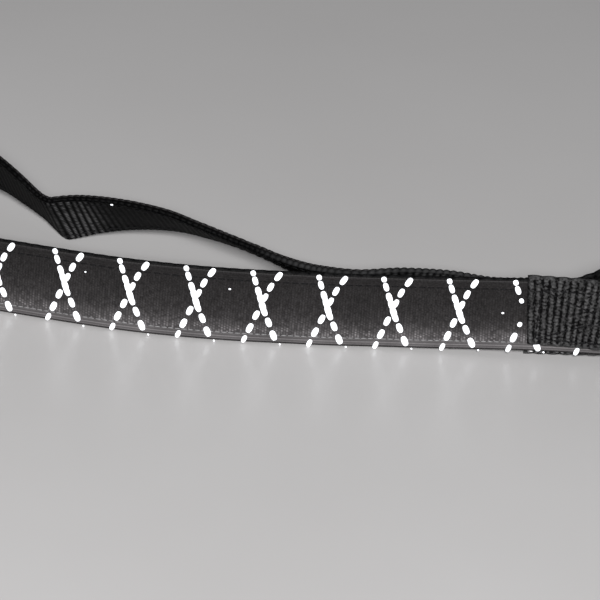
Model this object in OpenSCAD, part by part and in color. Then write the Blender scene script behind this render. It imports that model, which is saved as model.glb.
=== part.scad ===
// Martingale collar: a band of webbing with a reflective face ribbon, two end
// rings, a slide adjuster and a control loop with a leash ring.
// It stands on its edge on a flat surface. Millimetres, +Z up, +Y away from
// the near side of the band, hardware at the +X end.

/* [Band] */
// Width of the band webbing
band_w = 24.6; // [23:0.1:25]
// Thickness of the band webbing
band_t = 1.6; // [1.2:0.1:1.7]
// Width of the face ribbon
ribbon_w = 24.0; // [20:0.5:24.5]
// Thickness of the face ribbon
ribbon_t = 0.7; // [0.5:0.05:0.8]
// Distance from one reflective cross to the next
cross_pitch = 20; // [14:1:40]
// Width of one arm of a reflective cross
cross_arm_w = 1.8; // [1:0.1:2.5]
// Distance of the edge stitching from the ribbon's centre line
stitch_row = 9.2; // [6:0.1:11]

/* [Ring keeper] */
// Width of the keeper webbing
keeper_w = 24; // [22:0.5:25]
// Where the keeper's two cut ends lie
keeper_end_x = 68.6; // [60:0.1:80]

/* [Rings] */
// Wire diameter of the two end rings
ring_wire = 3.2; // [2.6:0.1:3.4]
// Clear height inside the two end rings
ring_inner = 26.4; // [25.6:0.1:26.6]
// Distance between the two upright bars of an end ring
ring_len = 12; // [11.5:0.1:12.5]
// Wire diameter of the leash ring
dring_wire = 3.5; // [3:0.1:3.6]
// Clear height inside the leash ring
dring_inner = 26; // [25.4:0.1:26.2]

/* [Slide adjuster] */
// Length of the slide along the strap
slide_len = 15; // [14:0.5:16]
// Overall height of the slide
slide_h = 31.8; // [31:0.2:32]

/* [Control loop] */
// Width of the control loop webbing
loop_w = 24.6; // [20:0.1:25]
// Thickness of the control loop webbing
loop_t = 1.6; // [1.2:0.1:1.7]

/* [Hidden] */

// Shift that puts the middle of the part's footprint on the origin
OFFX = -35.4;
OFFY = -35.1;
OFFZ = 0.22;

hz = 16.6;          // height of the hardware's centre line
bar_x = 126;        // upright bar of both end rings
bar_ya = 2.1;       // fixed ring
main_y = 12.6;      // centre of the adjustable strap beside the slide
bar_yb = main_y - 2.5;
slide_x = 105.5;     // middle of the slide at rest
dx = 204;           // upright bar of the leash ring
dy = 17;
span_x = 132.8;     // inner span of the control loop
CUT = 19;           // station where the near and the far half meet

// Centre line of the band from its fixed end round the left turn to the
// adjuster: x, y, z and the direction across the width
ROUTE = [
    [122, 2.4, 16.4, 0, 0, 1], [110, 2.4, 16.2, 0, 0, 1], [98, 2.4, 16, 0, 0, 1],
    [84, 2.4, 15.6, 0, 0, 1], [70, 2.3, 15, 0, 0, 1], [55, 1.9, 14.1, 0, 0, 1],
    [40, 1.1, 13.3, 0, 0, 1], [25, 0.1, 12.8, 0, 0, 1], [10, -1.4, 12.5, 0, 0, 1],
    [-5, -2.8, 12.5, 0, 0, 1], [-20, -4, 12.5, 0, 0, 1], [-35, -4.4, 12.5, 0, 0, 1],
    [-50, -4, 12.5, 0, 0, 1], [-65, -2.6, 12.5, 0, 0, 1], [-80, -0.6, 12.5, 0, 0, 1],
    [-95, 1.6, 12.5, 0, 0, 1], [-110, 4.2, 12.6, 0, 0, 1], [-126, 8.6, 12.8, 0, 0, 1],
    [-139, 16.5, 13.2, 0.05, 0, 1], [-148, 29, 14, 0.1, 0, 1], [-150, 44, 15, 0.1, -0.1, 1],
    [-146, 57, 16.2, 0.05, -0.2, 1], [-135, 66, 17.6, 0, -0.3, 0.95], [-121, 69.5, 18.4, -0.06, -0.42, 0.9],
    [-108, 63.5, 18.4, -0.05, -0.54, 0.84], [-98, 56.8, 17.2, -0.02, -0.64, 0.77], [-90.5, 51.4, 15.2, -0.04, -0.67, 0.74],
    [-83.5, 46.7, 12.4, -0.1, -0.68, 0.73], [-80.4, 44.3, 11.1, -0.14, -0.63, 0.76], [-77.2, 42.2, 10.5, -0.21, -0.53, 0.82],
    [-73.5, 41.9, 11.5, -0.21, -0.53, 0.82], [-67.2, 41.8, 13.1, -0.21, -0.58, 0.79], [-59.3, 40.7, 14.7, -0.21, -0.64, 0.74],
    [-50.6, 38.9, 15.9, -0.17, -0.7, 0.69], [-41, 36.7, 16.3, -0.13, -0.76, 0.64], [-32, 34.3, 15.4, -0.13, -0.8, 0.59],
    [-22, 31.4, 14.1, -0.17, -0.81, 0.56], [-12, 27.4, 12.8, -0.24, -0.78, 0.58], [-3, 22.6, 11.9, -0.33, -0.71, 0.62],
    [8, 16.6, 11.6, -0.37, -0.61, 0.7], [19, 10.8, 12.2, -0.32, -0.45, 0.83], [32, 7.6, 12.5, -0.08, -0.12, 0.98],
    [45, 7, 12.5, 0, 0, 1], [58, 5.2, 12.6, 0, 0, 1], [72, 6.9, 13, 0, 0, 1], [82, 7.4, 13.5, 0, 0, 1],
    [88, 9.6, 14.9, 0, 0, 1], [94, 12.2, 16.4, 0, 0, 1], [102, 12.6, 16.6, 0, 0, 1], [112, 12.6, 16.6, 0, 0, 1],
    [124, 12.6, 16.6, 0, 0, 1]];
NR = len(ROUTE);

function unit(v) = v / norm(v);
function cr(u) = let (i = min(max(floor(u), 0), NR - 2), t = u - i,
    p0 = ROUTE[max(i - 1, 0)], p1 = ROUTE[i], p2 = ROUTE[i + 1], p3 = ROUTE[min(i + 2, NR - 1)])
    0.5 * (2 * p1 + (p2 - p0) * t + (2 * p0 - 5 * p1 + 4 * p2 - p3) * t * t + (3 * p1 - 3 * p2 + p3 - p0) * t * t * t);
function pos3(p) = [p[0], p[1], p[2]];
// A frame is [point, along, across, inward]
function frame_at(u) = let (c = cr(u), a = cr(max(u - 0.02, 0)), b = cr(min(u + 0.02, NR - 1)),
    t = unit(pos3(b) - pos3(a)), w0 = [c[3], c[4], c[5]], w = unit(w0 - (w0 * t) * t))
    [pos3(c), t, w, cross(t, w)];
function strap_frames(u0, u1, step = 0.5) = let (n = ceil((u1 - u0) / step)) [for (i = [0:n]) frame_at(u0 + (u1 - u0) * i / n)];
// Frames along a plan path [x, y, z], upright across the width
function path_frames(p) = [for (i = [0:len(p) - 1]) let (
    t = unit(p[min(i + 1, len(p) - 1)] - p[max(i - 1, 0)]), w = unit([0, 0, 1] - t[2] * t)) [p[i], t, w, cross(t, w)]];
function arc(cx, cy, r, a0, a1, n, z) = [for (i = [0:n]) let (a = a0 + (a1 - a0) * i / n) [cx + r * cos(a), cy + r * sin(a), z]];

// Length along the band at each tenth of a station
STEPS = (NR - 1) * 4;
LEN = [for (i = 0, s = 0; i <= STEPS; i = i + 1, s = s + norm(pos3(cr(min(i, STEPS) / 5)) - pos3(cr((i - 1) / 5)))) [s, i / 5]];
function u_at(s) = lookup(s, LEN);
U_LEN = [for (q = LEN) [q[1], q[0]]];
function s_at(u) = lookup(u, U_LEN);

// Closed solid through a list of four-cornered rings
module loft(rings) {
    n = len(rings);
    polyhedron(points = [for (r = rings) for (p = r) p],
        faces = concat([[0, 1, 2], [0, 2, 3]],
            [for (i = [0:n - 2]) for (k = [0:3]) let (a = 4 * i + k, b = 4 * i + (k + 1) % 4) each [[a, a + 4, b + 4], [a, b + 4, b]]],
            [[4 * n - 1, 4 * n - 2, 4 * n - 3], [4 * n - 1, 4 * n - 3, 4 * n - 4]]), convexity = 8);
}
// Flat strap of a rectangular section swept along frames
module sweep(fr, w0, w1, n0, n1) {
    loft([for (f = fr) [f[0] + f[2] * w0 + f[3] * n0, f[0] + f[2] * w1 + f[3] * n0,
        f[0] + f[2] * w1 + f[3] * n1, f[0] + f[2] * w0 + f[3] * n1]]);
}
module place() translate([OFFX, OFFY, OFFZ]) children();

NEAR_FR = strap_frames(0, CUT + 0.96);
FAR_U1 = NR - 1;
// The far strap runs past the slide, folds round the ring's bar and comes back
FOLD = concat(arc(bar_x, bar_yb, 2.5, 90, -90, 10, hz), [[bar_x - 3, bar_yb - 2.5, hz], [bar_x - 9, bar_yb - 2.4, hz]]);
FAR_FR = concat(strap_frames(CUT + 1.04, FAR_U1), path_frames(FOLD));
RIB_NEAR_FR = strap_frames(0.3, CUT + 0.96);
RIB_FAR_FR = strap_frames(CUT + 1.04, 45.6);

module near_webbing() { color("#1b1b1d") place() sweep(NEAR_FR, -band_w / 2, band_w / 2, -band_t / 2, band_t / 2); }
module far_webbing() { color("#1b1b1d") place() sweep(FAR_FR, -band_w / 2, band_w / 2, -band_t / 2, band_t / 2); }
module near_face_ribbon() { color("#2a2a2c") place() sweep(RIB_NEAR_FR, -ribbon_w / 2, ribbon_w / 2, -band_t / 2 - ribbon_t, -band_t / 2); }
module far_face_ribbon() { color("#2a2a2c") place() sweep(RIB_FAR_FR, -ribbon_w / 2, ribbon_w / 2, -band_t / 2 - ribbon_t, -band_t / 2); }

// One arm of a cross: from height h0 to h1 while moving d0 to d1 along the band
module cross_arm(s, d0, h0, d1, h1) {
    face = -band_t / 2 - ribbon_t;
    loft([for (i = [0:4]) let (f = frame_at(u_at(s + d0 + (d1 - d0) * i / 4)), p = f[0] + f[2] * (h0 + (h1 - h0) * i / 4))
        [p - f[1] * cross_arm_w / 2 + f[3] * (face - 0.3), p - f[1] * cross_arm_w / 2 + f[3] * (face + 0.02),
         p + f[1] * cross_arm_w / 2 + f[3] * (face + 0.02), p + f[1] * cross_arm_w / 2 + f[3] * (face - 0.3)]]);
}
module cross_at(s) {
    cross_arm(s, -5.2, -10.4, 3.9, 11.4);
    cross_arm(s, 4.2, -11.4, -3.6, 11.2);
}
S_FIRST = 13.5;
S_CUT = s_at(CUT + 1);
S_END = s_at(45.5);
module near_cross_stitches() { color("#e8ecef") place() for (s = [S_FIRST:cross_pitch:S_CUT - 7]) cross_at(s); }
module far_cross_stitches() {
    color("#e8ecef") place() for (k = [0:40]) let (s = S_FIRST + k * cross_pitch) if (s > S_CUT + 7 && s < S_END - 8) cross_at(s);
}
module stitch_rows(fr) {
    for (h = [-stitch_row, stitch_row]) {
        sweep(fr, h - 0.3, h + 0.3, -band_t / 2 - ribbon_t - 0.25, -band_t / 2 - ribbon_t + 0.02);
        sweep(fr, h - 0.3, h + 0.3, band_t / 2 - 0.02, band_t / 2 + 0.25);
    }
}
module near_edge_stitching() { color("#3a3a3c") place() stitch_rows(strap_frames(4.4, CUT + 0.9)); }
module far_edge_stitching() { color("#3a3a3c") place() stitch_rows(strap_frames(CUT + 1.1, 45.4)); }

// Keeper: folded round the fixed ring's bar, its two ends clasping the band
KEEPER = concat([[keeper_end_x, -0.15, 17.9], [84, 0, 18.2], [98, 0, 17.7], [112, -0.05, 17], [120, -0.2, 16.6]],
    arc(bar_x, bar_ya, 2.55, -90, 90, 10, 16.4), [[120, 4.3, 16], [112, 4.15, 15.4], [98, 4.1, 14.3], [84, 4.1, 13.2], [keeper_end_x, 3.95, 12.6]]);
module ring_keeper() { color("#161618") place() sweep(path_frames(KEEPER), -keeper_w / 2, keeper_w / 2, -0.8, 0.8); }

// Straight thread run on an upright face at depth y, from one point to another
module thread_run(x0, z0, x1, z1, y, wd = 0.7, th = 0.3) {
    l = norm([x1 - x0, z1 - z0]); a = atan2(z1 - z0, x1 - x0);
    translate([x0, y - th / 2, z0]) rotate([0, -a, 0]) translate([0, 0, -wd / 2]) cube([l, th, wd]);
}
module box_stitch(x0, x1, z0, z1, y) {
    thread_run(x0, z0, x1, z0, y); thread_run(x0, z1, x1, z1, y);
    thread_run(x0, z0, x0, z1, y); thread_run(x1, z0, x1, z1, y);
    thread_run(x0, z0, x1, z1, y); thread_run(x0, z1, x1, z0, y);
}
module keeper_box_stitching() {
    color("#0e0e10") place() { box_stitch(72, 114, 8.5, 25.5, -0.95); box_stitch(72, 114, 5.5, 22.5, 5.02); }
}

module bent_ring(len_x, wire, inner, r) {
    hi = inner / 2 + wire / 2;
    for (x = [0, len_x]) translate([x, 0, -hi + r]) cylinder(d = wire, h = 2 * (hi - r), $fn = 32);
    for (z = [-hi, hi]) translate([r, 0, z]) rotate([0, 90, 0]) cylinder(d = wire, h = len_x - 2 * r, $fn = 32);
    for (q = [[r, -hi + r, 180], [len_x - r, -hi + r, 270], [len_x - r, hi - r, 0], [r, hi - r, 90]])
        translate([q[0], 0, q[1]]) rotate([90, 0, 0]) rotate([0, 0, q[2]]) rotate_extrude(angle = 90, $fn = 48) translate([r, 0]) circle(d = wire, $fn = 32);
}
module fixed_ring() { color("#8d9094") place() translate([bar_x, bar_ya, hz]) bent_ring(ring_len, ring_wire, ring_inner, 3); }
module adjuster_ring() { color("#8d9094") place() translate([bar_x, bar_yb, hz]) bent_ring(ring_len, ring_wire, ring_inner, 3); }

// Slide: two side bars on the outer face of the strap, middle bar on the inner
module slide_adjuster() {
    color("#8d9094") place() translate([slide_x, main_y, hz]) {
        for (s = [-1, 1]) {
            translate([-slide_len / 2, -5, s > 0 ? slide_h / 2 - 3 : -slide_h / 2]) cube([slide_len, 8.2, 3]);
            translate([s * (slide_len / 2 - 1.5) - 1.5, 1.1, -slide_h / 2 + 1]) cube([3, 2.1, slide_h - 2]);
        }
        translate([-1.5, -5, -slide_h / 2 + 1]) cube([3, 2.2, slide_h - 2]);
    }
}
// Tail: comes back from the ring on the inner side, round the middle bar
mid_y = main_y - 3.9;
TAIL = concat([[slide_x + 11, main_y - 4.9, hz], [slide_x + 6, main_y - 5.2, hz]],
    [for (p = arc(slide_x - 0.5, mid_y, 2.05, -90, -270, 10, hz)) p], [[slide_x + 3, main_y - 1.9, hz], [slide_x + 6.5, main_y - 2.9, hz], [slide_x + 10, main_y - 3.2, hz]]);
module adjuster_tail() { color("#161618") place() sweep(path_frames(TAIL), -band_w / 2, band_w / 2, -0.8, 0.8); }
module adjuster_bartack() {
    color("#0e0e10") place() for (x = [slide_x + 6, slide_x + 9]) thread_run(x, hz - 10.5, x, hz + 10.5, main_y - 5.95, 1.2);
}

// Control loop: closed strap through both rings to the leash ring
LOOP = concat([[150, -0.2, hz], [140, -0.85, hz]], arc(span_x + 4, 3.15, 4, -90, -180, 5, hz),
    [[span_x + 0.4, 14, hz], [span_x + 1.1, 28, hz]], arc(span_x + 7, 44, 5, 180, 65, 6, hz),
    [[160, 37.6, hz], [180, 28.4, hz], [192, 22.9, hz], [199, 20.6, hz]],
    arc(dx, dy, 2.9, 90, -90, 10, hz), [[199, 13.5, hz], [192, 11.8, hz], [180, 8, hz], [165, 3.6, hz], [150.6, -0.05, hz]]);
LOOP_PATCH = [[190, 9.3, hz], [180, 6.15, hz], [165, 1.75, hz], [152, -1.5, hz], [142, -2.65, hz]];
module control_loop() {
    color("#161618") place() {
        sweep(path_frames(LOOP), -loop_w / 2, loop_w / 2, -loop_t / 2, loop_t / 2);
        sweep(path_frames(LOOP_PATCH), -loop_w / 2, loop_w / 2, -loop_t / 2, loop_t / 2);
    }
}
module slant_thread(x0, y0, x1, y1, z, wd) {
    l = norm([x1 - x0, y1 - y0]); a = atan2(y1 - y0, x1 - x0);
    translate([x0, y0, z - wd / 2]) rotate([0, 0, a]) translate([0, -0.3, 0]) cube([l, 0.3, wd]);
}
module loop_join_stitching() {
    color("#0e0e10") place() { for (z = [hz - 8.5, hz + 8.5]) slant_thread(166, 1.15, 180, 5.25, z, 0.7);
        for (x = [166, 180]) translate([x, 1.15 + (x - 166) * 0.293 - 0.25, hz - 8.5]) cube([0.7, 0.35, 17]); }
}
module leash_ring_bartack() {
    color("#0e0e10") place() for (x = [194, 196.5]) translate([x, 22.2 + (194 - x) * 0.3 + 0.75, hz - 10]) cube([1.2, 0.35, 20]);
}
module leash_ring() {
    r = (dring_inner + dring_wire) / 2;
    color("#8d9094") place() translate([dx, dy, hz]) {
        translate([0, 0, -r + 3]) cylinder(d = dring_wire, h = 2 * r - 6, $fn = 32);
        for (q = [[3, -r + 3, 180], [3, r - 3, 90]])
            translate([q[0], 0, q[1]]) rotate([90, 0, 0]) rotate([0, 0, q[2]]) rotate_extrude(angle = 90, $fn = 48) translate([3, 0]) circle(d = dring_wire, $fn = 32);
        translate([3, 0, 0]) rotate([90, 0, 0]) rotate([0, 0, -90]) rotate_extrude(angle = 180, $fn = 96) translate([r, 0]) circle(d = dring_wire, $fn = 32);
    }
}

near_webbing();
far_webbing();
near_face_ribbon();
far_face_ribbon();
near_cross_stitches();
far_cross_stitches();
near_edge_stitching();
far_edge_stitching();
ring_keeper();
keeper_box_stitching();
fixed_ring();
adjuster_ring();
slide_adjuster();
adjuster_tail();
adjuster_bartack();
control_loop();
loop_join_stitching();
leash_ring_bartack();
leash_ring();
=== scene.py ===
# Martingale collar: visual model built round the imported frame.
import math
import bpy
import bmesh
import numpy as np
from mathutils import Matrix, Vector


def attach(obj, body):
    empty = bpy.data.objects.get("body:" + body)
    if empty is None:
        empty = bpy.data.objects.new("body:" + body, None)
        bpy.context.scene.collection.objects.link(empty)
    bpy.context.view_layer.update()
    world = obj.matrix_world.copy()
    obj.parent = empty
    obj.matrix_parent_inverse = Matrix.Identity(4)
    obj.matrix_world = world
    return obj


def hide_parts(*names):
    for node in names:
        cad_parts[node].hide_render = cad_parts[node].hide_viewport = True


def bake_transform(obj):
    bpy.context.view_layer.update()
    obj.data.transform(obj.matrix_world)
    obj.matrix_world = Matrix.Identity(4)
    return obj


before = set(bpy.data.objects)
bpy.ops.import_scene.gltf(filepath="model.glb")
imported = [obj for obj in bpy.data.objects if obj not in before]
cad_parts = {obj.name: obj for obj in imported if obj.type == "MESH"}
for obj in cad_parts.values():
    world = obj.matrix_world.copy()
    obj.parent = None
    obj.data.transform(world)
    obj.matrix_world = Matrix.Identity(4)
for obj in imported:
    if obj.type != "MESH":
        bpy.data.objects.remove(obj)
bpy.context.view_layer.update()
RNG = np.random.default_rng(7)
MM = 0.001
OFF = np.array([-35.4, -35.1, 0.22])          # same shift as the CAD model, in mm

scene = bpy.context.scene
scene.view_settings.view_transform = "Standard"
scene.view_settings.look = "None"
scene.view_settings.exposure = 0.0
scene.view_settings.gamma = 1.0

# ------------------------------------------------------------------ camera
ELEV, ROLL, DIST = math.radians(30.0), 0.093, 1.0
target = Vector((np.array([0.0, 0.0, 12.0]) + OFF) * MM)
fwd = Vector((0, math.cos(ELEV), -math.sin(ELEV)))
right = Vector((1, 0, 0))
up = right.cross(fwd)
c_right = right * math.cos(ROLL) + up * math.sin(ROLL)
c_up = up * math.cos(ROLL) - right * math.sin(ROLL)
cam_data = bpy.data.cameras.new("camera")
cam = bpy.data.objects.new("camera", cam_data)
scene.collection.objects.link(cam)
loc = target - fwd * DIST
m = Matrix((c_right, c_up, -fwd)).transposed().to_4x4()
m.translation = loc
cam.matrix_world = m
cam_data.sensor_width = 36.0
cam_data.lens = 3320.0 / 600.0 * 36.0
cam_data.shift_x = 1.5 / 600.0
cam_data.shift_y = 5.0 / 600.0
cam_data.clip_start, cam_data.clip_end = 0.05, 20.0
cam_data.dof.use_dof = False
scene.camera = cam

# ------------------------------------------------------------ band geometry
ROUTE = np.array([
    [122, 2.4, 16.4, 0, 0, 1], [110, 2.4, 16.2, 0, 0, 1], [98, 2.4, 16, 0, 0, 1],
    [84, 2.4, 15.6, 0, 0, 1], [70, 2.3, 15, 0, 0, 1], [55, 1.9, 14.1, 0, 0, 1],
    [40, 1.1, 13.3, 0, 0, 1], [25, 0.1, 12.8, 0, 0, 1], [10, -1.4, 12.5, 0, 0, 1],
    [-5, -2.8, 12.5, 0, 0, 1], [-20, -4, 12.5, 0, 0, 1], [-35, -4.4, 12.5, 0, 0, 1],
    [-50, -4, 12.5, 0, 0, 1], [-65, -2.6, 12.5, 0, 0, 1], [-80, -0.6, 12.5, 0, 0, 1],
    [-95, 1.6, 12.5, 0, 0, 1], [-110, 4.2, 12.6, 0, 0, 1], [-126, 8.6, 12.8, 0, 0, 1],
    [-139, 16.5, 13.2, 0.05, 0, 1], [-148, 29, 14, 0.1, 0, 1], [-150, 44, 15, 0.1, -0.1, 1],
    [-146, 57, 16.2, 0.05, -0.2, 1], [-135, 66, 17.6, 0, -0.3, 0.95], [-121, 69.5, 18.4, -0.06, -0.42, 0.9],
    [-108, 63.5, 18.4, -0.05, -0.54, 0.84], [-98, 56.8, 17.2, -0.02, -0.64, 0.77], [-90.5, 51.4, 15.2, -0.04, -0.67, 0.74],
    [-83.5, 46.7, 12.4, -0.1, -0.68, 0.73], [-80.4, 44.3, 11.1, -0.14, -0.63, 0.76], [-77.2, 42.2, 10.5, -0.21, -0.53, 0.82],
    [-73.5, 41.9, 11.5, -0.21, -0.53, 0.82], [-67.2, 41.8, 13.1, -0.21, -0.58, 0.79], [-59.3, 40.7, 14.7, -0.21, -0.64, 0.74],
    [-50.6, 38.9, 15.9, -0.17, -0.7, 0.69], [-41, 36.7, 16.3, -0.13, -0.76, 0.64], [-32, 34.3, 15.4, -0.13, -0.8, 0.59],
    [-22, 31.4, 14.1, -0.17, -0.81, 0.56], [-12, 27.4, 12.8, -0.24, -0.78, 0.58], [-3, 22.6, 11.9, -0.33, -0.71, 0.62],
    [8, 16.6, 11.6, -0.37, -0.61, 0.7], [19, 10.8, 12.2, -0.32, -0.45, 0.83], [32, 7.6, 12.5, -0.08, -0.12, 0.98],
    [45, 7, 12.5, 0, 0, 1], [58, 5.2, 12.6, 0, 0, 1], [72, 6.9, 13, 0, 0, 1], [82, 7.4, 13.5, 0, 0, 1],
    [88, 9.6, 14.9, 0, 0, 1], [94, 12.2, 16.4, 0, 0, 1], [102, 12.6, 16.6, 0, 0, 1], [112, 12.6, 16.6, 0, 0, 1],
    [124, 12.6, 16.6, 0, 0, 1]], float)
NR = len(ROUTE)
BAND_W, BAND_T, RIB_W, RIB_T = 24.6, 1.6, 24.0, 0.7
HZ, BAR_X, BAR_YA, MAIN_Y, SLIDE_X = 16.6, 126.0, 2.1, 12.6, 105.5
BAR_YB = MAIN_Y - 2.5
DX, DY, SPAN_X = 204.0, 17.0, 132.8


def cr(u):
    u = np.clip(np.asarray(u, float), 0, NR - 1)
    i = np.minimum(np.floor(u).astype(int), NR - 2)
    t = (u - i)[:, None]
    p0, p1 = ROUTE[np.maximum(i - 1, 0)], ROUTE[i]
    p2, p3 = ROUTE[i + 1], ROUTE[np.minimum(i + 2, NR - 1)]
    return 0.5 * (2 * p1 + (p2 - p0) * t + (2 * p0 - 5 * p1 + 4 * p2 - p3) * t * t + (3 * p1 - 3 * p2 + p3 - p0) * t ** 3)


def norm(v):
    return v / np.linalg.norm(v, axis=1)[:, None]


def frames_u(u):
    c, a, b = cr(u), cr(np.asarray(u) - 0.02), cr(np.asarray(u) + 0.02)
    t = norm(b[:, :3] - a[:, :3])
    w = c[:, 3:]
    w = norm(w - (w * t).sum(1)[:, None] * t)
    return c[:, :3], t, w, np.cross(t, w)


_u = np.linspace(0, NR - 1, (NR - 1) * 40 + 1)
_c = cr(_u)[:, :3]
_s = np.r_[0, np.cumsum(np.linalg.norm(np.diff(_c, axis=0), axis=1))]


def u_of(s):
    return np.interp(s, _s, _u)


def s_of(u):
    return float(np.interp(u, _u, _s))


def route_frames(s):
    return frames_u(u_of(s))


def path_maker(points, smooth=2.2):
    """Frames along a polyline [x, y, z] in mm, rounded a little, upright across."""
    p = np.array(points, float)
    d = np.r_[0, np.cumsum(np.linalg.norm(np.diff(p, axis=0), axis=1))]
    step = 0.1
    n = int(d[-1] / step) + 1
    q = np.stack([np.interp(np.linspace(0, d[-1], n), d, p[:, k]) for k in range(3)], 1)
    k = int(smooth / step) | 1
    win = np.hanning(k + 2)[1:-1]
    win /= win.sum()
    h = k // 2
    a0 = 2 * q[0] - q[1:h + 1][::-1]
    a1 = 2 * q[-1] - q[-h - 1:-1][::-1]
    e = np.vstack([a0, q, a1])
    q = np.stack([np.convolve(e[:, j], win, mode="valid") for j in range(3)], 1)
    s = np.r_[0, np.cumsum(np.linalg.norm(np.diff(q, axis=0), axis=1))]

    def f(x):
        def at(v):
            return np.stack([np.interp(v, s, q[:, j]) for j in range(3)], 1)
        c = at(x)
        t = norm(at(np.minimum(x + 0.35, s[-1])) - at(np.maximum(x - 0.35, 0)))
        z = np.array([0, 0, 1.0])
        w = norm(z - (t @ z)[:, None] * t)
        return c, t, w, np.cross(t, w)
    return f, s[-1]


def arc(cx, cy, r, a0, a1, n, z):
    return [[cx + r * math.cos(math.radians(a)), cy + r * math.sin(math.radians(a)), z] for a in np.linspace(a0, a1, n + 1)]


# ---------------------------------------------------------------- materials
def new_mat(name):
    mat = bpy.data.materials.new(name)
    mat.use_nodes = True
    nt = mat.node_tree
    return mat, nt, nt.nodes["Principled BSDF"]


def node(nt, kind, **props):
    n = nt.nodes.new(kind)
    for k, v in props.items():
        if k.startswith("in_"):
            key = k[3:]
            n.inputs[int(key) if key.isdigit() else key.replace("_", " ")].default_value = v
        else:
            setattr(n, k, v)
    return n


def ramp(nt, fac, stops):
    r = nt.nodes.new("ShaderNodeValToRGB")
    while len(r.color_ramp.elements) < len(stops):
        r.color_ramp.elements.new(0.5)
    for e, (pos, col) in zip(r.color_ramp.elements, stops):
        e.position = pos
        e.color = (*col, 1)
    nt.links.new(fac, r.inputs["Fac"])
    return r.outputs["Color"]


def fabric_mat(name, groove, crown, rough, spec, sheen, fibre=1500.0, bump=0.25, coat=0.0):
    """Cloth: grooves painted near black (painted shade), yarn crowns painted lighter (painted highlight), fine fibres
    as bump.
    """
    mat, nt, bs = new_mat(name)
    lk = nt.links.new
    at = node(nt, "ShaderNodeAttribute", attribute_name="crown")
    tc = nt.nodes.new("ShaderNodeTexCoord")
    big = node(nt, "ShaderNodeTexNoise", in_Scale=90.0, in_Detail=3.0)
    fine = node(nt, "ShaderNodeTexNoise", in_Scale=fibre, in_Detail=3.0)
    lk(tc.outputs["Object"], big.inputs["Vector"])
    lk(tc.outputs["Object"], fine.inputs["Vector"])
    add = node(nt, "ShaderNodeMath", operation="MULTIPLY_ADD")
    lk(fine.outputs["Fac"], add.inputs[0])
    add.inputs[1].default_value = 0.24
    sub = node(nt, "ShaderNodeMath", operation="SUBTRACT")
    lk(at.outputs["Fac"], sub.inputs[0])
    sub.inputs[1].default_value = 0.12
    lk(sub.outputs[0], add.inputs[2])
    col = ramp(nt, add.outputs[0], [(0.0, groove), (0.5, tuple(0.7 * g + 0.3 * c for g, c in zip(groove, crown))), (1.0, crown)])
    mix = node(nt, "ShaderNodeMix", data_type="RGBA", blend_type="MULTIPLY")
    mix.inputs["Factor"].default_value = 0.6
    lk(col, mix.inputs["A"])
    lk(ramp(nt, big.outputs["Fac"], [(0.25, (0.62, 0.62, 0.62)), (0.75, (1.25, 1.25, 1.25))]), mix.inputs["B"])
    lk(mix.outputs["Result"], bs.inputs["Base Color"])
    bs.inputs["Roughness"].default_value = rough
    bs.inputs["Specular IOR Level"].default_value = spec
    bs.inputs["Sheen Weight"].default_value = sheen
    bs.inputs["Sheen Roughness"].default_value = 0.4
    bp = node(nt, "ShaderNodeBump", in_Strength=bump, in_Distance=0.00012)
    lk(fine.outputs["Fac"], bp.inputs["Height"])
    lk(bp.outputs["Normal"], bs.inputs["Normal"])
    return mat


def thread_mat(name, dark, light, rough, emit=None, strength=0.0):
    mat, nt, bs = new_mat(name)
    lk = nt.links.new
    tc = nt.nodes.new("ShaderNodeTexCoord")
    wv = node(nt, "ShaderNodeTexNoise", in_Scale=2600.0, in_Detail=2.0)
    lk(tc.outputs["Object"], wv.inputs["Vector"])
    lk(ramp(nt, wv.outputs["Fac"], [(0.3, dark), (0.7, light)]), bs.inputs["Base Color"])
    bs.inputs["Roughness"].default_value = rough
    bs.inputs["Specular IOR Level"].default_value = 0.5 if light[0] > 0.05 else 0.08
    bp = node(nt, "ShaderNodeBump", in_Strength=0.3, in_Distance=0.00008)
    lk(wv.outputs["Fac"], bp.inputs["Height"])
    lk(bp.outputs["Normal"], bs.inputs["Normal"])
    if emit:
        bs.inputs["Emission Color"].default_value = (*emit, 1)
        bs.inputs["Emission Strength"].default_value = strength
    return mat


def metal_mat():
    mat, nt, bs = new_mat("nickel_steel")
    lk = nt.links.new
    tc = nt.nodes.new("ShaderNodeTexCoord")
    n1 = node(nt, "ShaderNodeTexNoise", in_Scale=380.0, in_Detail=5.0)
    n2 = node(nt, "ShaderNodeTexNoise", in_Scale=55.0, in_Detail=2.0)
    lk(tc.outputs["Object"], n1.inputs["Vector"])
    lk(tc.outputs["Object"], n2.inputs["Vector"])
    lk(ramp(nt, n2.outputs["Fac"], [(0.3, (0.50, 0.50, 0.505)), (0.7, (0.62, 0.62, 0.63))]), bs.inputs["Base Color"])
    bs.inputs["Metallic"].default_value = 1.0
    mr = node(nt, "ShaderNodeMapRange")
    mr.inputs["To Min"].default_value = 0.22
    mr.inputs["To Max"].default_value = 0.38
    lk(n1.outputs["Fac"], mr.inputs["Value"])
    lk(mr.outputs["Result"], bs.inputs["Roughness"])
    bp = node(nt, "ShaderNodeBump", in_Strength=0.12, in_Distance=0.0001)
    lk(n1.outputs["Fac"], bp.inputs["Height"])
    lk(bp.outputs["Normal"], bs.inputs["Normal"])
    return mat


# groove colours below are painted shade, crown colours are painted highlight on the yarn tops
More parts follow.
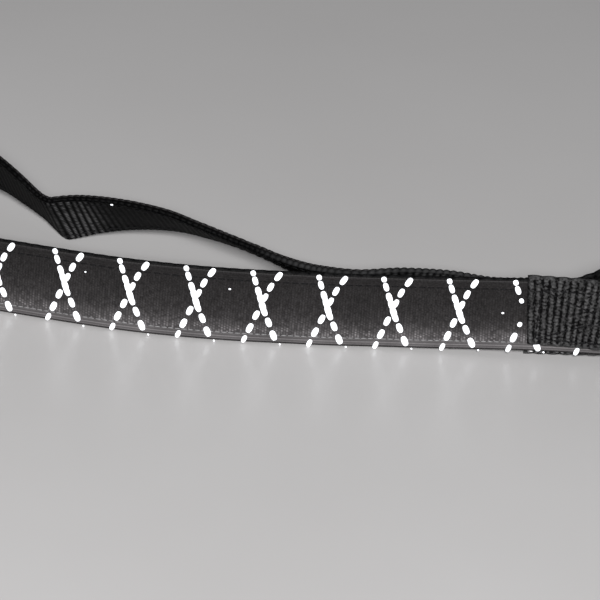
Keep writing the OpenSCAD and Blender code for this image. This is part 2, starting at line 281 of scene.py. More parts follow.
M_WEB = fabric_mat("coarse_webbing", (0.0008, 0.0008, 0.0009), (0.165, 0.164, 0.167), 0.6, 0.05, 0.0)
M_KEEP = fabric_mat("keeper_webbing", (0.0010, 0.0010, 0.0011), (1.0, 0.99, 1.0), 0.6, 0.06, 0.0)
M_RIB = fabric_mat("face_ribbon", (0.0060, 0.0052, 0.0053), (0.26, 0.245, 0.25), 0.55, 0.16, 0.0, fibre=2200.0)
M_SILVER = thread_mat("reflective_thread_unlit", (0.22, 0.225, 0.235), (0.40, 0.405, 0.415), 0.45)
# reflective thread with a painted glow: near white and emissive, it is no lamp
M_REF_PAINTED_GLOW = thread_mat("reflective_thread", (0.75, 0.78, 0.82), (0.95, 0.96, 0.98), 0.35, emit=(0.95, 0.965, 1.0), strength=0.95)
# grey copy of the black edge thread, used only for the near band's lower row: painted highlight along the lit lower
# edge
M_GREY_PAINTED_HIGHLIGHT = thread_mat("ribbon_thread", (0.11, 0.108, 0.11), (0.22, 0.215, 0.22), 0.5)
M_BLACK = thread_mat("black_thread", (0.002, 0.002, 0.002), (0.010, 0.010, 0.011), 0.6)
M_METAL = metal_mat()


# ------------------------------------------------------------ mesh building
def to_object(name, verts, faces, mat, crown=None, uv=None, smooth=True):
    me = bpy.data.meshes.new(name)
    v = (np.asarray(verts) + OFF) * MM
    me.from_pydata(v.tolist(), [], faces)
    me.update()
    # crown attribute: how far fabric_mat moves from the painted groove shade to the painted crown highlight
    if crown is not None:
        a = me.attributes.new("crown", "FLOAT", "POINT")
        a.data.foreach_set("value", np.asarray(crown, np.float32))
    if smooth:
        me.polygons.foreach_set("use_smooth", np.ones(len(me.polygons), bool))
    me.materials.append(mat)
    ob = bpy.data.objects.new(name, me)
    scene.collection.objects.link(ob)
    return ob


def grid_faces(ns, mm):
    i, k = np.meshgrid(np.arange(ns - 1), np.arange(mm), indexing="ij")
    a = i * mm + k
    b = i * mm + (k + 1) % mm
    f = np.stack([a, a + mm, b + mm, b], -1).reshape(-1, 4)
    return f.tolist() + [list(range(mm)), list(range((ns - 1) * mm, ns * mm))[::-1]]


def webbing_relief(s, h, rib=2.0, yarn=1.35, depth=0.36, dots=0.12, tone=0.125):
    """Height and crown of the coarse rib: broad ribs across the width, each a row of yarn crowns; crown is the painted
    highlight on the yarn tops, low crown leaves the painted groove shade.
    """
    p = s / rib
    ph = p - np.floor(p)
    r = np.abs(np.sin(np.pi * ph)) ** 0.75
    k = np.floor(p)
    row = np.floor(h / yarn + 0.5 * np.mod(k, 2))
    y = 0.5 + 0.5 * np.cos(2 * np.pi * (h / yarn + 0.5 * np.mod(k, 2) + 0.09 * np.sin(2 * np.pi * ph)))
    y = y ** 0.8
    jit = np.mod(np.sin(k * 12.9898 + row * 78.233) * 43758.5453, 1.0)
    height = depth * (r - 1) + dots * (y - 1) * r * (0.8 + 0.4 * jit)
    crown = np.clip(tone * np.clip(r - 0.45, 0, 1) / 0.55 * (0.25 + 0.75 * y) * (0.5 + 0.7 * jit), 0, 1)
    return height, crown


def twist_relief(s, h):
    """Inner face of the far half: the ribs carry a painted highlight where the strap twists, and are painted lighter
    towards the right end.
    """
    # lit: where the painted highlight sits at the twist; right: ribs painted lighter towards the right end
    lit = np.exp(-((s - S_TWIST) / 7.5) ** 2) + 0.08 * np.exp(-((s - S_TWIST - 14) / 9.0) ** 2)
    right = np.clip((s - s_of(38)) / 20.0, 0, 1)
    height, crown = webbing_relief(s, h, yarn=0.95, tone=0.008 + 1.6 * lit + 0.35 * right)
    return height, np.clip(crown - 0.2 * lit, 0, 1)


def keeper_relief(s, h):
    """Ribs of the ring keeper, pushed about by the stitching that goes through them."""
    wob = 0.5 * np.sin(0.55 * h + 0.31 * s) * np.sin(0.23 * s + 0.4) + 0.28 * np.sin(1.7 * h + 0.9 * s) + 0.15 * np.sin(3.1 * h - 1.7 * s)
    height, crown = webbing_relief(s + wob * np.clip((s - 4.0) / 5.0, 0, 1), h + 0.35 * np.sin(0.8 * s), yarn=0.62, tone=1.25)
    spot = 0.5 + 0.5 * np.sin(0.9 * s + 1.1 * h) * np.sin(1.3 * h - 0.5 * s + 1.0)
    return height, np.clip((crown - 0.22) * (0.25 + 1.2 * spot), 0, 1)


def ribbon_relief(s, h):
    """Fine ribs between two satin selvedges; the crowns are painted lighter along the lower edge and darker towards the
    top (painted highlight and painted shade).
    """
    p = s / 0.82
    ph = p - np.floor(p)
    r = np.abs(np.sin(np.pi * ph)) ** 0.8
    k = np.floor(p)
    row = np.floor(h / 0.95 + 0.5 * np.mod(k, 2))
    y = 0.5 + 0.5 * np.cos(2 * np.pi * (h / 0.95 + 0.5 * np.mod(k, 2)))
    jit = np.mod(np.sin(k * 12.9898 + row * 78.233) * 43758.5453, 1.0)
    edge = np.clip((np.abs(h) - 8.9) / 0.5, 0, 1)
    # tone across the width: painted highlight along the lower edge and selvedge, fading to painted shade at the top
    # edge
    tone = np.interp(h, [-12, -10.5, -9.6, -8.8, -7.6, -5.5, -3.2, -1.0, 3.0, 8.5, 9.5, 12], [0.38, 0.69, 0.50, 0.66, 0.60, 0.34, 0.19, 0.135, 0.085, 0.055, 0.045, 0.03])
    height = (0.16 * (r - 1) + 0.04 * (y - 1) * r) * (1 - edge) + edge * (0.05 * np.cos(2 * np.pi * h / 0.8) - 0.05)
    crown = tone * ((1 - edge) * (0.25 + r * (0.3 + 0.7 * y) * (0.25 + 1.25 * jit)) + edge * (0.85 + 0.25 * np.cos(2 * np.pi * h / 0.8)))
    return height, np.clip(crown, 0, 1)


def plain_relief(s, h):
    return np.zeros_like(s + h), np.full_like(s + h, 0.12)


def strap(name, frames, s0, s1, ds, hw, n0, n1, mat, outer=None, inner=None, dh_out=0.3, dh_in=0.3,
          s_off=0.0, edge_pitch=4.0, edge_amp=0.26, edge_tone=0.05, centre=None):
    """Closed strap from s0 to s1: n0 is the outer face's depth, n1 the inner one's. Reliefs are functions of (s, h) in mm."""
    ns = max(int(round((s1 - s0) / ds)) + 1, 2)
    s = np.linspace(s0, s1, ns)
    c, t, w, n = frames(s)
    rad = (n1 - n0) / 2
    he = hw - rad
    ho = np.linspace(-he, he, max(int(2 * he / dh_out), 2) + 1) if outer else np.array([-he, he])
    hi = np.linspace(he, -he, max(int(2 * he / dh_in), 2) + 1) if inner else np.array([he, -he])
    ang = np.radians([60, 30, 0, -30, -60])
    mid = (n0 + n1) / 2
    eu_h = he + rad * np.cos(ang)
    eu_n = mid - rad * np.sin(ang)
    prof_h = np.r_[ho, eu_h, hi, -eu_h]
    prof_n = np.r_[np.full(len(ho), n0), eu_n, np.full(len(hi), n1), eu_n[::-1]]
    mm_ = len(prof_h)
    H = np.repeat(prof_h[None], ns, 0)
    N = np.repeat(prof_n[None], ns, 0)
    S = np.repeat(s[:, None], mm_, 1) + s_off
    crown = np.full((ns, mm_), 0.15)
    a0, a1 = 0, len(ho)
    b0, b1 = len(ho) + 5, len(ho) + 5 + len(hi)
    fade_o = np.clip((he + 0.35 - np.abs(prof_h[a0:a1])) / 0.8, 0.15, 1)[None]
    fade_i = np.clip((he + 0.35 - np.abs(prof_h[b0:b1])) / 0.8, 0.15, 1)[None]
    if outer:
        d, k = outer(S[:, a0:a1], H[:, a0:a1])
        N[:, a0:a1] -= d * fade_o
        crown[:, a0:a1] = k
    if inner:
        d, k = inner(S[:, b0:b1], H[:, b0:b1])
        N[:, b0:b1] += d * fade_i
        crown[:, b0:b1] = k
    e = edge_amp * (np.abs(np.sin(np.pi * S / edge_pitch)) - 1)
    on_edge = np.abs(H) > he - 0.01
    H = H + np.sign(H) * e * on_edge
    # edge ridges: their crown, set by edge_tone, is painted highlight
    crown = np.where(on_edge, (edge_tone(S) if callable(edge_tone) else edge_tone) * (0.3 + np.abs(np.sin(np.pi * S / edge_pitch))), crown)
    off = 0 if centre is None else centre(s)[:, None]
    P = c[:, None] + w[:, None] * (H + off)[..., None] + n[:, None] * N[..., None]
    return to_object(name, P.reshape(-1, 3), grid_faces(ns, mm_), mat, crown.ravel())


# One capsule-shaped thread float, unit length along x, half width along y, up along z
def float_template(nu, nv):
    u = np.linspace(0, math.pi, nu + 1)
    v = np.linspace(0, 2 * math.pi, nv, endpoint=False)
    pts = [(-1, 0, 0)]
    for a in u[1:-1]:
        x = -math.cos(a)
        r = math.sin(a) ** 0.62
        pts += [(x, r * math.cos(b), r * math.sin(b)) for b in v]
    pts.append((1, 0, 0))
    fc = []
    for k in range(nv):
        fc.append([0, 1 + (k + 1) % nv, 1 + k])
    for i in range(nu - 2):
        for k in range(nv):
            a = 1 + i * nv + k
            b = 1 + i * nv + (k + 1) % nv
            fc.append([a, b, b + nv, a + nv])
    last = len(pts) - 1
    for k in range(nv):
        fc.append([last, last - nv + k, last - nv + (k + 1) % nv])
    return np.array(pts), fc


T_FINE = float_template(8, 10)
T_LOW = float_template(5, 6)


def floats(name, items, mat, template=T_LOW):
    """items: (centre, along, side, up, half length, half width, half height) arrays in mm."""
    tp, tf = template
    V, F = [], []
    for c, a, b, u, hl, hwid, hh in items:
        base = len(V) * len(tp)
        V.append(c + tp[:, :1] * a * hl + tp[:, 1:2] * b * hwid + tp[:, 2:] * u * hh)
        F += [[i + base for i in f] for f in tf]
    return to_object(name, np.vstack(V), F, mat, np.full(len(tp) * len(items), 0.7))


def on_band(s, h, depth):
    c, t, w, n = route_frames(np.atleast_1d(np.asarray(s, float)))
    return c + w * np.atleast_1d(h)[:, None] + n * depth, t, w, n


# Crosses: for each float, place along the band (to the right seen from outside), height above the lower edge, size
LINE_A = [(-3.7, 23.9, 0.70), (-2.9, 21.3, 0.95), (-1.7, 17.7, 1.05), (-0.9, 15.3, 1.1), (-0.1, 12.7, 1.15), (0.5, 10.9, 1.05), (2.1, 7.2, 1.06), (3.9, 2.7, 1.13), (6.1, 0.1, 0.24)]
LINE_B = [(3.9, 23.2, 1.05), (1.8, 19.4, 1.0), (0.4, 15.7, 0.95), (-1.8, 9.5, 1.05), (-3.4, 4.9, 1.08), (-4.8, 1.0, 0.85)]


def cross_items(s, far=False):
    items = []
    for line in (LINE_A, LINE_B):
        for i, (x, z, size) in enumerate(line):
            q = line[min(i + 1, len(line) - 1)] if i < len(line) - 1 else line[i - 1]
            lift = 0.35 if 130 < s < 200 and size > 0.4 else 0.0
            dx, dz = q[0] - x, q[1] - z
            if i == len(line) - 1:
                dx, dz = -dx, -dz
            if i + 2 == len(line) - (line is LINE_B) and line is LINE_A:
                dx, dz = x - line[i - 1][0], z - line[i - 1][1]
            if size < 0.4:
                dx, dz = 0.6, -1.0
            l = math.hypot(dx, dz)
            dx, dz = dx / l, dz / l
            p, t, w, n = on_band(s - x, z + lift - 12.3, -BAND_T / 2 - RIB_T - 0.12)
            if not far and size > 0.4 and z > 4.5 and p[0, 0] > 66.4:
                if p[0, 0] > 67.3:
                    continue                        # under the keeper
                size = 0.62                         # pulled in at the keeper's edge
            if not far and z < 4.5 and size > 0.4 and p[0, 0] > 69:
                p = p - w * (0.6 if z > 2 else 0.0)                     # peeping out below the keeper
            a = -t[0] * dx + w[0] * dz
            b = np.cross(n[0], a)
            hl = 1.56 * size if size > 0.75 else 1.3 * size
            hw = 0.86 * min(size, 1.13) if size > 0.75 else 1.15 * size
            if far:                                  # flatter, and short of the edges
                if size < 0.5:
                    continue
                q = p[0] - w[0] * np.sign(z - 12.3) * max(abs(z - 12.3) - 8.9, 0) + n[0] * 0.15
                items.append((q, a, b, -n[0], hl, hw, 0.24))
                continue
            items.append((p[0], a, b, -n[0], hl, hw, 0.36 * min(size + 0.2, 1.0)))
    return items


def stitch_items(s_list, h, depth, out, hl=1.05, hw=0.24, hh=0.2):
    p, t, w, n = on_band(s_list, np.full(len(s_list), h), depth)
    return [(p[i], t[i], w[i], n[i] * out, hl, hw, hh) for i in range(len(s_list))]


CUT_U = 20.0
S_CUT = s_of(CUT_U)
S_A, S_B = s_of(18.6), s_of(21.4)          # stretch of the left turn, built as pieces of its own
S_RIB_END = s_of(45.6)
S_TWIST = s_of(30.4)
S_FIRST = 13.5


def web_outer_plain(s, h):
    return plain_relief(s, h)


def relief_both(s, h):
    return webbing_relief(s, h)


# ----------------------------------------------------------- base webbing
pieces = {}
near_main = strap("near_webbing_visual", route_frames, 0.0, S_A, 1 / 3, BAND_W / 2, -0.8, 0.8, M_WEB, None, webbing_relief, dh_in=0.27, edge_amp=0.1)
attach(near_main, "near_band")
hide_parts("near_webbing")
turn = strap("turn_webbing_visual", route_frames, S_A, S_B, 1 / 3, BAND_W / 2, -0.8, 0.8, M_WEB, None, webbing_relief, dh_in=0.27, edge_amp=0.1)
S_BARE = s_of(45.3)
# far strap: twist_relief paints a highlight on the ribs at the twist and lightens them towards the right end; edge_tone
# paints the edges lighter towards the right end
far_main = strap("far_webbing_visual", route_frames, S_B, S_BARE, 1 / 3, BAND_W / 2, -0.8, 0.8, M_WEB, None, twist_relief, dh_in=0.24, edge_pitch=2.1, edge_amp=0.36,
                 edge_tone=lambda s: 0.2 * np.clip((s - s_of(37)) / 15.0, 0, 1))
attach(far_main, "far_band")
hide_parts("far_webbing")
# bare end of the far half, over the slide and round the ring
_cs = np.linspace(S_BARE, s_of(NR - 1), 60)
end_pts = route_frames(_cs)[0].tolist() + arc(BAR_X, BAR_YB, 2.5, 90, -90, 10, HZ) + [[BAR_X - 3, BAR_YB - 2.5, HZ], [BAR_X - 9, BAR_YB - 2.4, HZ]]
end_f, end_l = path_maker(end_pts, 0.8)
far_end = strap("far_end_visual", end_f, 0.0, end_l - 3.0, 1 / 3, BAND_W / 2, -0.8, 0.8, M_WEB, webbing_relief, webbing_relief, dh_out=0.27, dh_in=0.27, s_off=S_BARE)
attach(far_end, "far_band")
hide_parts("far_webbing")
ty = MAIN_Y - 3.9
TAIL = [[SLIDE_X + 11, MAIN_Y - 4.9, HZ], [SLIDE_X + 6, MAIN_Y - 5.2, HZ]] + arc(SLIDE_X - 0.5, ty, 2.05, -90, -270, 10, HZ) + \
    [[SLIDE_X + 3, MAIN_Y - 1.9, HZ], [SLIDE_X + 6.5, MAIN_Y - 2.9, HZ], [SLIDE_X + 10, MAIN_Y - 3.2, HZ]]
tail_f, tail_l = path_maker(TAIL, 1.0)
tail = strap("adjuster_tail_visual", tail_f, 1.2, tail_l, 1 / 3, BAND_W / 2, -0.8, 0.8, M_WEB, webbing_relief, webbing_relief, dh_out=0.3, dh_in=0.3)
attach(tail, "slide")
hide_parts("adjuster_tail")
# the run between ring and slide
RUN = [[BAR_X - 3, BAR_YB - 2.5, HZ], [BAR_X - 9, BAR_YB - 2.4, HZ], [SLIDE_X + 11, MAIN_Y - 4.9, HZ], [SLIDE_X + 6, MAIN_Y - 5.2, HZ]]
run_f, run_l = path_maker(RUN, 1.0)
run = strap("adjuster_run_visual", run_f, 2.7, run_l - 3.6, 1 / 3, BAND_W / 2 - 0.03, -0.78, 0.78, M_WEB, webbing_relief, webbing_relief, dh_out=0.3, dh_in=0.3)

# ------------------------------------------------------------ face ribbon
rn = strap("near_ribbon_visual", route_frames, s_of(0.3), S_A, 0.205, RIB_W / 2, -BAND_T / 2 - RIB_T, -BAND_T / 2 + 0.1, M_RIB, ribbon_relief, None, dh_out=0.4, edge_pitch=0.82, edge_amp=0.05)
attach(rn, "near_band")
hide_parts("near_face_ribbon")
rt = strap("turn_ribbon_visual", route_frames, S_A, S_B, 0.205, RIB_W / 2, -BAND_T / 2 - RIB_T, -BAND_T / 2 + 0.1, M_RIB, ribbon_relief, None, dh_out=0.4, edge_pitch=0.82, edge_amp=0.05)
rf = strap("far_ribbon_visual", route_frames, S_B, S_RIB_END, 0.205, RIB_W / 2 - 0.2, -BAND_T / 2 - RIB_T, -BAND_T / 2 + 0.1, M_RIB, ribbon_relief, None, dh_out=0.4, edge_pitch=2.1, edge_amp=0.34, edge_tone=0.0)
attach(rf, "far_band")
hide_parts("far_face_ribbon")

# ---------------------------------------------------------------- crosses
near_c, turn_c, far_c = [], [], []
SHIFT = {33.5: -0.9, 113.5: -0.2, 133.5: -0.45, 153.5: -0.6, 173.5: -0.8, 193.5: -1.1}   # mm along the band, towards where each cross was measured to lie
s = S_FIRST
while s < s_of(45.5) - 8:
    (near_c if s < S_A - 6.5 else far_c if s > S_B + 6.5 else turn_c).extend(cross_items(s + SHIFT.get(s, 0.0), s > S_CUT))
    s += 20.0
# stray ends of the reflective yarn, with the same painted glow
for sk, hk, r in ((186.6, 6.5, 0.22), (143.3, 6.0, 0.28), (60.6, 1.0, 0.30), (52.7, -0.8, 0.24)):
    p, t, w, n = on_band(sk, hk, -BAND_T / 2 - RIB_T - 0.08)
    near_c.append((p[0], t[0], w[0], -n[0], r * 1.3, r, 0.2))
cn = floats("near_crosses_visual", near_c, M_REF_PAINTED_GLOW, T_FINE)
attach(cn, "near_band")
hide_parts("near_cross_stitches")
cf = floats("far_crosses_visual", far_c, M_SILVER, T_FINE)
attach(cf, "far_band")
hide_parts("far_cross_stitches")
p, t, w, n = on_band(412.0, 11.4, BAND_T / 2 + 0.1)
yarn_end = floats("far_yarn_end_visual", [(p[0], t[0], w[0], n[0], 0.45, 0.36, 0.2)], M_REF_PAINTED_GLOW, T_FINE)
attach(yarn_end, "far_band")
ct = floats("turn_crosses_visual", turn_c, M_REF_PAINTED_GLOW, T_FINE)

# ----------------------------------------------------------- edge stitches
rows = {"near": [], "turn": [], "far": []}
for sk in np.arange(s_of(4.4), s_of(45.4), 2.75):
    key = "near" if sk < S_A - 1.2 else "far" if sk > S_B + 1.2 else "turn"
    rows[key].append(sk)
made = {}
for key, lst in rows.items():
    it = []
    for h in (-9.2, 9.2):
        if h > 0 or key != "near":
            it += stitch_items(np.array(lst), h, -BAND_T / 2 - RIB_T - 0.03, -1)
        it += stitch_items(np.array(lst) + 1.3, h, BAND_T / 2 + 0.0, 1, hh=0.16)
    made[key] = floats(key + "_stitching_visual", it, M_BLACK, T_LOW)
# near band's lower stitch row in the grey copy of the edge thread (painted highlight)
made["low"] = floats("near_lower_stitching_visual", stitch_items(np.arange(s_of(4.4), S_A - 1.2, 2.0), -9.1, -BAND_T / 2 - RIB_T - 0.03, -1, hl=0.85, hw=0.2), M_GREY_PAINTED_HIGHLIGHT, T_LOW)
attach(made["low"], "near_band")
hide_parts("near_edge_stitching")
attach(made["near"], "near_band")
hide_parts("near_edge_stitching")
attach(made["far"], "far_band")
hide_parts("far_edge_stitching")

# ------------------------------------------------------------------ keeper
KEEPER = [[68.6, -0.15, 17.9], [84, 0, 18.2], [98, 0, 17.7], [112, -0.05, 17], [120, -0.2, 16.6]] + arc(BAR_X, BAR_YA, 2.55, -90, 90, 10, 16.4) + \
    [[120, 4.3, 16], [112, 4.15, 15.4], [98, 4.1, 14.3], [84, 4.1, 13.2], [68.6, 3.95, 12.2]]
keep_f, keep_l = path_maker(KEEPER, 1.2)
keep_straight = keep_f


def keep_f(s):
    """The outer end is cut a few degrees off square."""
    c, t, w, n = keep_straight(s)
    return c, t, w - 0.085 * t * np.clip(1 - np.asarray(s, float) / 9.0, 0, 1)[:, None], n


keeper = strap("ring_keeper_visual", keep_f, 0.0, keep_l, 1 / 4, 12.0, -0.8, 0.8, M_KEEP, keeper_relief, webbing_relief, dh_out=0.165, dh_in=0.6)
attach(keeper, "near_band")
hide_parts("ring_keeper")


def line_items(p0, p1, face_y, pitch=2.6, hl=1.1, hw=0.27, hh=0.22, sign=-1):
    p0, p1 = np.array(p0, float), np.array(p1, float)
    l = np.linalg.norm(p1 - p0)
    n = max(int(l / pitch), 1)
    a2 = (p1 - p0) / l
    out = []
    for i in range(n):
        q = p0 + (p1 - p0) * (i + 0.5) / n
        a = np.array([a2[0], 0, a2[1]])
        c = np.array([q[0], face_y(q[0]), q[1]])
        up_ = np.array([0, sign, 0.0])
        out.append((c, a, np.cross(up_, a), up_, hl, hw, hh))
    return out


def box_x(x0, x1, z0, z1, face_y, sign):
    c = [(x0, z0), (x1, z0), (x1, z1), (x0, z1)]
    it = []
    for a, b in ((0, 1), (1, 2), (2, 3), (3, 0), (0, 2), (1, 3)):
        it += line_items(c[a], c[b], face_y, sign=sign)
    return it


def front_y(x):
    return float(np.interp(x, [68.6, 84, 98, 112, 120], [-0.15, 0, 0, -0.05, -0.2])) - 0.86


def back_y(x):
    return float(np.interp(x, [68.6, 84, 98, 112, 120], [3.95, 4.1, 4.1, 4.15, 4.3])) + 0.86


kb = floats("keeper_stitching_visual", box_x(72, 114, 8.5, 25.5, front_y, -1) + box_x(72, 114, 5.5, 22.5, back_y, 1), M_BLACK)
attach(kb, "near_band")
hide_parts("keeper_box_stitching")

# ------------------------------------------------------------ control loop
LOOP = [[150, -0.2, HZ], [140, -0.85, HZ]] + arc(SPAN_X + 4, 3.15, 4, -90, -180, 5, HZ) + [[SPAN_X + 0.4, 14, HZ], [SPAN_X + 1.1, 28, HZ]] + \
    arc(SPAN_X + 7, 44, 5, 180, 65, 6, HZ) + [[160, 37.6, HZ], [180, 28.4, HZ], [192, 22.9, HZ], [199, 20.6, HZ]] + \
    arc(DX, DY, 2.9, 90, -90, 10, HZ) + [[199, 13.5, HZ], [192, 11.8, HZ], [180, 8, HZ], [165, 3.6, HZ], [150.6, -0.05, HZ]]
loop_f, loop_l = path_maker(LOOP, 1.5)
loop = strap("control_loop_visual", loop_f, 0.0, loop_l, 1 / 3, 12.3, -0.8, 0.8, M_WEB, webbing_relief, webbing_relief, dh_out=0.34, dh_in=0.5)
PATCH = [[190, 9.3, HZ], [180, 6.15, HZ], [165, 1.75, HZ], [152, -1.5, HZ], [142, -2.65, HZ]]
patch_f, patch_l = path_maker(PATCH, 2.0)
patch = strap("control_loop_overlap_visual", patch_f, 0.0, patch_l, 1 / 3, 12.3, -0.8, 0.8, M_WEB, webbing_relief, webbing_relief, dh_out=0.3, dh_in=0.6)
for o in (loop, patch):
    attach(o, "loop")
    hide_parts("control_loop")


def strip_items(frames, pts, depth, sign, pitch=2.4, hl=1.05, hw=0.27, hh=0.22):
    """Thread along a polyline of (s, h) on a strap's face."""
    it = []
    for (s0, h0), (s1, h1) in zip(pts[:-1], pts[1:]):
        l = math.hypot(s1 - s0, h1 - h0)
        k = max(int(l / pitch), 1)
        x = np.array([s0 + (s1 - s0) * (i + 0.5) / k for i in range(k)])
        hh_ = np.array([h0 + (h1 - h0) * (i + 0.5) / k for i in range(k)])
        c, t, w, n = frames(x)
        for i in range(k):
            a = (t[i] * (s1 - s0) + w[i] * (h1 - h0)) / l
            up_ = n[i] * sign
            it.append((c[i] + w[i] * hh_[i] + n[i] * depth, a, np.cross(up_, a), up_, hl, hw, hh))
    return it


# the overlap's patch runs towards -x, so its inward side is its upper one
lj = strip_items(patch_f, [(8, -9), (30, -9), (30, 9), (8, 9), (8, -9), (30, 9)], -0.86, -1) + \
    strip_items(patch_f, [(8, 9), (30, -9)], -0.86, -1)
lj_c = floats("loop_join_visual", lj, M_BLACK)
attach(lj_c, "loop")
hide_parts("loop_join_stitching")
def zigzag(frames, s0, s1, h0, h1, turns, depth, sign):
    pts = []
    for i in range(turns + 1):
        pts.append((s0 if i % 2 else s1, h0 + (h1 - h0) * i / turns))
    return strip_items(frames, pts, depth, sign, pitch=3.0, hl=1.35)


_probe = np.linspace(0, loop_l, 2000)
_pp = loop_f(_probe)[0]
s_tack = float(_probe[np.argmin(np.abs(_pp[:, 0] - 194.0) + (np.abs(_pp[:, 1] - 22.2) > 4) * 100)])
lb = floats("leash_ring_bartack_visual", zigzag(loop_f, s_tack, s_tack + 2.6, -10, 10, 22, -0.86, -1) + zigzag(loop_f, s_tack, s_tack + 2.6, -10, 10, 22, 0.86, 1), M_BLACK)
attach(lb, "loop")
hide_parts("leash_ring_bartack")
ab = floats("adjuster_bartack_visual", zigzag(tail_f, 4.0, 6.8, -10.5, 10.5, 22, 0.86, 1) + zigzag(tail_f, 4.0, 6.8, -10.5, 10.5, 22, -0.86, -1), M_BLACK)
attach(ab, "slide")
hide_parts("adjuster_bartack")


# ---------------------------------------------------------------- hardware
def tube(name, pts, radius, mat, closed=True, sides=24):
    p = np.array(pts, float)
    n = len(p)
    nxt, prv = np.roll(p, -1, 0), np.roll(p, 1, 0)
    t = norm(nxt - prv)
    y = np.array([0, 1.0, 0])
    a = np.repeat(y[None], n, 0)
    b = np.cross(t, a)
    ang = np.linspace(0, 2 * math.pi, sides, endpoint=False)
    V = p[:, None] + radius * (a[:, None] * np.cos(ang)[None, :, None] + b[:, None] * np.sin(ang)[None, :, None])
    F = []
    for i in range(n):
        j = (i + 1) % n
        for k in range(sides):
            l = (k + 1) % sides
            F.append([i * sides + k, i * sides + l, j * sides + l, j * sides + k])
    return to_object(name, V.reshape(-1, 3), F, mat)


def rounded_rect(x0, y, zc, len_x, hi, r, seg=12):
    pts = []
    for cx, cz, a0 in ((x0 + len_x - r, zc + hi - r, 90), (x0 + len_x - r, zc - hi + r, 0), (x0 + r, zc - hi + r, -90), (x0 + r, zc + hi - r, -180)):
        for a in np.linspace(a0, a0 - 90, seg + 1):
            pts.append([cx + r * math.cos(math.radians(a)), y, cz + r * math.sin(math.radians(a))])
    return pts


def weld(name, x, y, z, r, mat):
    """Weld bead: a slightly thicker collar round the wire where its ends meet."""
    pts, F = [], []
    prof = [(-1.3, 0.99), (-0.9, 1.05), (-0.3, 1.10), (0.3, 1.10), (0.9, 1.05), (1.3, 0.99)]
    sd = 24
    for dz, k in prof:
        for a in np.linspace(0, 2 * math.pi, sd, endpoint=False):
            wob = 1 + 0.012 * math.sin(3 * a + dz * 4)
            pts.append([x + r * k * wob * math.cos(a), y + r * k * wob * math.sin(a), z + dz])
    for i in range(len(prof) - 1):
        for k in range(sd):
            l = (k + 1) % sd
            F.append([i * sd + k, i * sd + l, (i + 1) * sd + l, (i + 1) * sd + k])
    F.append(list(range(sd))[::-1])
    F.append(list(range((len(prof) - 1) * sd, len(prof) * sd)))
    return to_object(name, pts, F, mat)


hi = 13.2 + 1.6
for nm, yy, body, cadn in (("fixed_ring_visual", BAR_YA, "end_ring_fixed", "fixed_ring"), ("adjuster_ring_visual", BAR_YB, "end_ring_adjuster", "adjuster_ring")):
    r_ = tube(nm, rounded_rect(BAR_X, yy, HZ, 12, hi, 3), 1.6, M_METAL)
    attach(r_, body)
    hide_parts(cadn)
    wd = weld(nm.replace("visual", "weld"), BAR_X + 12, yy, HZ + 5.5, 1.6, M_METAL)
    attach(wd, body)

R = (26 + 3.5) / 2
pts = [[DX + 3 + R * math.cos(math.radians(a)), DY, HZ + R * math.sin(math.radians(a))] for a in np.linspace(90, -90, 65)]
for cx, cz, a0 in ((DX + 3, HZ - R + 3, -90), (DX + 3, HZ + R - 3, -180)):
    for a in np.linspace(a0, a0 - 90, 13):
        pts.append([cx + 3 * math.cos(math.radians(a)), DY, cz + 3 * math.sin(math.radians(a))])
keep_pts = [pts[0]]
for q in pts[1:]:
    if np.linalg.norm(np.array(q) - np.array(keep_pts[-1])) > 0.02:
        keep_pts.append(q)
if np.linalg.norm(np.array(keep_pts[0]) - np.array(keep_pts[-1])) < 0.02:
    keep_pts.pop()
dr = tube("leash_ring_visual", keep_pts, 1.75, M_METAL, sides=28)
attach(dr, "leash_ring_body")
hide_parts("leash_ring")
dw = weld("leash_ring_weld", DX, DY, HZ - 1.0, 1.75, M_METAL)
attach(dw, "leash_ring_body")


def box_mesh(bm, x0, x1, y0, y1, z0, z1):
    v = [bm.verts.new((x, y, z)) for x in (x0, x1) for y in (y0, y1) for z in (z0, z1)]
    for f in ((0, 1, 3, 2), (4, 6, 7, 5), (0, 4, 5, 1), (2, 3, 7, 6), (0, 2, 6, 4), (1, 5, 7, 3)):
        bm.faces.new([v[i] for i in f])


def box_obj(name, b):
    bm = bmesh.new()
    box_mesh(bm, *b)
    bmesh.ops.recalc_face_normals(bm, faces=bm.faces)
    me = bpy.data.meshes.new(name)
    bm.to_mesh(me)
    bm.free()
    ob = bpy.data.objects.new(name, me)
    scene.collection.objects.link(ob)
    return ob


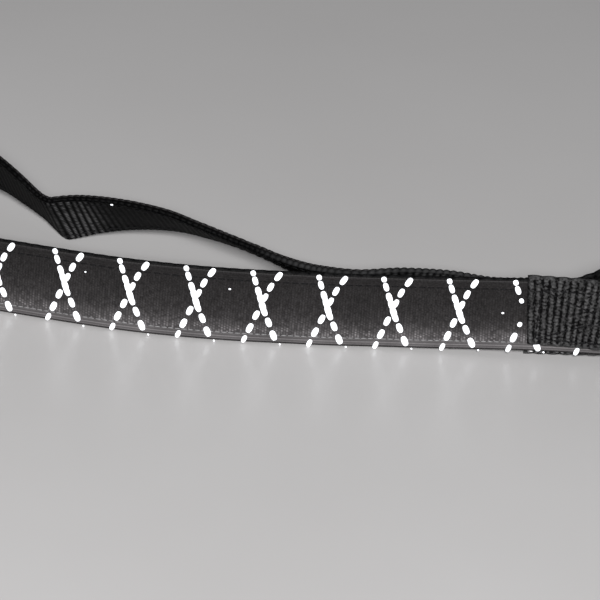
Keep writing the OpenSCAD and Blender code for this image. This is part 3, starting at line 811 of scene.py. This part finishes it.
def slide_piece():
    L, Hh = 7.5, 15.9
    boxes = [(-L, L, -5, 3.2, Hh - 3, Hh), (-L, L, -5, 3.2, -Hh, -Hh + 3),
             (-L, -L + 3, 1.1, 3.2, -Hh + 1, Hh - 1), (L - 3, L, 1.1, 3.2, -Hh + 1, Hh - 1), (-1.5, 1.5, -5, -2.8, -Hh + 1, Hh - 1)]
    k = (np.array([SLIDE_X, MAIN_Y, HZ]) + OFF)
    obs = []
    for i, (x0, x1, y0, y1, z0, z1) in enumerate(boxes):
        obs.append(box_obj("slide_part%d" % i, ((x0 + k[0]) * MM, (x1 + k[0]) * MM, (y0 + k[1]) * MM, (y1 + k[1]) * MM, (z0 + k[2]) * MM, (z1 + k[2]) * MM)))
    base = obs[0]
    for o in obs[1:]:
        md = base.modifiers.new("u", "BOOLEAN")
        md.operation, md.solver, md.object = "UNION", "EXACT", o
    bv = base.modifiers.new("b", "BEVEL")
    bv.width, bv.segments, bv.limit_method, bv.angle_limit = 0.0007, 4, "ANGLE", math.radians(40)
    bpy.context.view_layer.update()
    dg = bpy.context.evaluated_depsgraph_get()
    me = bpy.data.meshes.new_from_object(base.evaluated_get(dg))
    for o in obs:
        bpy.data.objects.remove(o)
    me.name = "slide_adjuster_visual"
    me.polygons.foreach_set("use_smooth", np.ones(len(me.polygons), bool))
    me.materials.clear()
    me.materials.append(M_METAL)
    ob = bpy.data.objects.new("slide_adjuster_visual", me)
    scene.collection.objects.link(ob)
    return ob


sl = slide_piece()
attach(sl, "slide")
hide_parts("slide_adjuster")

# ------------------------------------------------------------- turn and run: transforms baked into the meshes
for o in (turn, rt, ct, made["turn"]):
    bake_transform(o)
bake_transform(run)

# hidden frame nodes get their finish as well
for nm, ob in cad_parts.items():
    mt = M_METAL if nm in ("fixed_ring", "adjuster_ring", "slide_adjuster", "leash_ring") else M_WEB
    for i in range(len(ob.material_slots)):
        ob.material_slots[i].material = mt

# ------------------------------------------------------------------ stage
bpy.ops.mesh.primitive_plane_add(size=6.0, location=(0, 0, 0))
floor = bpy.context.object
floor.name = "floor"
mat, nt, bs = new_mat("floor_paint")
tc = nt.nodes.new("ShaderNodeTexCoord")
nz = node(nt, "ShaderNodeTexNoise", in_Scale=6.0, in_Detail=4.0)
nt.links.new(tc.outputs["Object"], nz.inputs["Vector"])
nt.links.new(ramp(nt, nz.outputs["Fac"], [(0.3, (0.502, 0.491, 0.488)), (0.7, (0.532, 0.522, 0.520))]), bs.inputs["Base Color"])
bs.inputs["Roughness"].default_value = 0.32
bs.inputs["Specular IOR Level"].default_value = 0.36
floor.data.materials.append(mat)


def area(name, loc, aim, size, power, color=(1, 1, 1)):
    ld = bpy.data.lights.new(name, "AREA")
    ld.shape, ld.size, ld.energy, ld.color = "SQUARE", size, power, color
    ob = bpy.data.objects.new(name, ld)
    ob.location = loc
    ob.rotation_euler = (Vector(aim) - Vector(loc)).to_track_quat("-Z", "Y").to_euler()
    scene.collection.objects.link(ob)
    return ob


area("flash", (-0.01, -1.23, 0.775), (-0.03, -0.03, 0.0), 0.24, 25.0)
area("fill", (0.02, -1.9, 1.35), (0.0, 0.15, 0.0), 0.4, 13.0, (0.98, 0.99, 1.0))
world = bpy.data.worlds.new("world")
scene.world = world
world.use_nodes = True
world.node_tree.nodes["Background"].inputs["Color"].default_value = (0.80, 0.81, 0.83, 1)
world.node_tree.nodes["Background"].inputs["Strength"].default_value = 0.13
